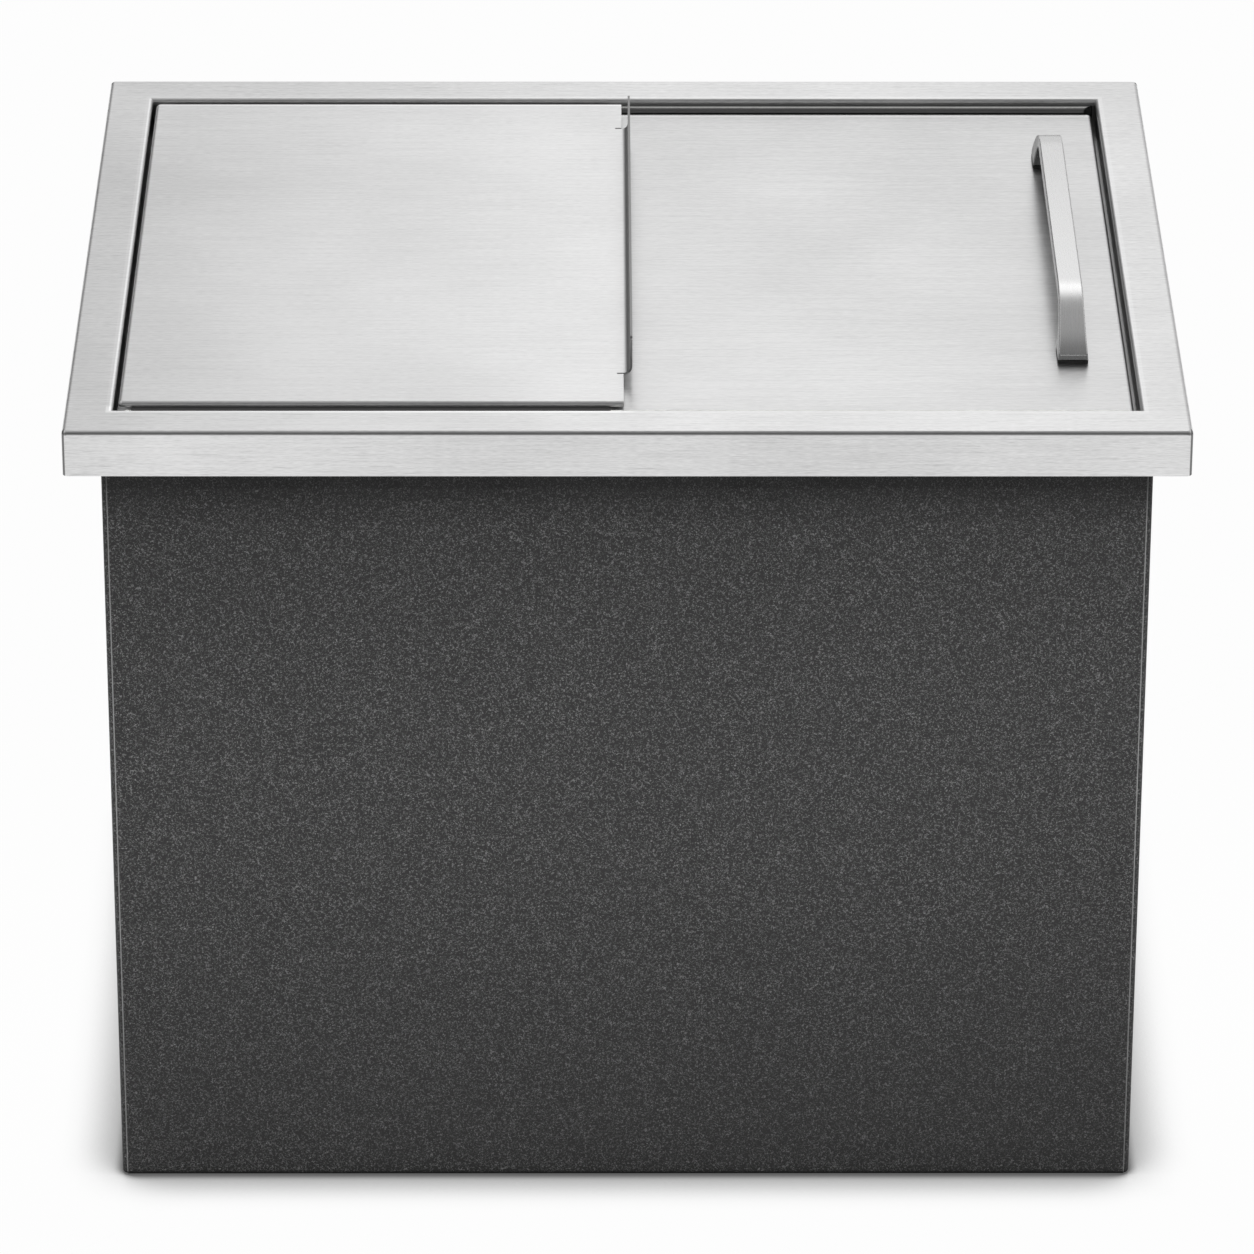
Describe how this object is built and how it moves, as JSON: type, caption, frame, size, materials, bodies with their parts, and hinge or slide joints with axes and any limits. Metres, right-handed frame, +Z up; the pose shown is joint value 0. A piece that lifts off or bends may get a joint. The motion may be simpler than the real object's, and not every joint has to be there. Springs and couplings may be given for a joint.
{
  "type": "drop-in ice bin",
  "caption": "Drop-in ice bin: brushed stainless rim with two overlapping sliding lids, a bow handle and a finger lip, over an insulated dark casing with a coved tub and drain.",
  "frame": {"origin": "on the floor, under the middle of the bin", "axes": "+X across the bin to the handle's side, +Y to the back, +Z up; the front faces -Y"},
  "size_m": [0.508, 0.406, 0.4165],
  "materials": {
    "brushed_stainless": "brushed along the bin's width",
    "tub_stainless": "cold-rolled mill finish",
    "handle_steel": "satin",
    "textured_paint": "matt, leathery texture",
    "galvanised_steel": "galvanised, dull",
    "pale_nylon": "smooth nylon",
    "black_nylon": "smooth black nylon",
    "black_rubber": "matt",
    "rigid_foam": "rigid closed-cell foam, matt",
    "fastener_steel": "plain stainless",
    "brass_nut": "machined"
  },
  "bodies": {
    "bin": {"top_frame": "brushed_stainless", "ice_liner": "tub_stainless", "upper_rail_front": "tub_stainless", "upper_rail_back": "tub_stainless", "runner_strip_front": "pale_nylon", "runner_strip_back": "pale_nylon", "front_panel": "textured_paint", "back_panel": "textured_paint", "left_panel": "textured_paint", "right_panel": "textured_paint", "base_panel": "galvanised_steel", "back_panel_rivets": "fastener_steel", "insulation_front": "rigid_foam", "insulation_back": "rigid_foam", "insulation_left": "rigid_foam", "insulation_right": "rigid_foam", "insulation_base": "rigid_foam", "drain_body": "tub_stainless", "drain_strainer": "tub_stainless", "drain_gasket": "black_rubber", "drain_washer": "fastener_steel", "drain_locknut": "brass_nut"},
    "upper_lid": {"left_lid": "brushed_stainless", "left_lid_slides": "black_nylon"},
    "lower_lid": {"right_lid": "brushed_stainless", "right_lid_glides": "pale_nylon", "pull_handle": "handle_steel", "handle_pads": "black_rubber", "handle_screws": "fastener_steel", "handle_washers": "fastener_steel"}
  },
  "joints": [
    {"name": "right_lid_slide", "type": "slide", "parent": "bin", "child": "lower_lid", "axis": [-1, 0, 0], "range_m": [0, 0.194]},
    {"name": "left_lid_lift", "type": "slide", "parent": "bin", "child": "upper_lid", "axis": [0, 0, 1], "range_m": [0, 0.06]}
  ]
}
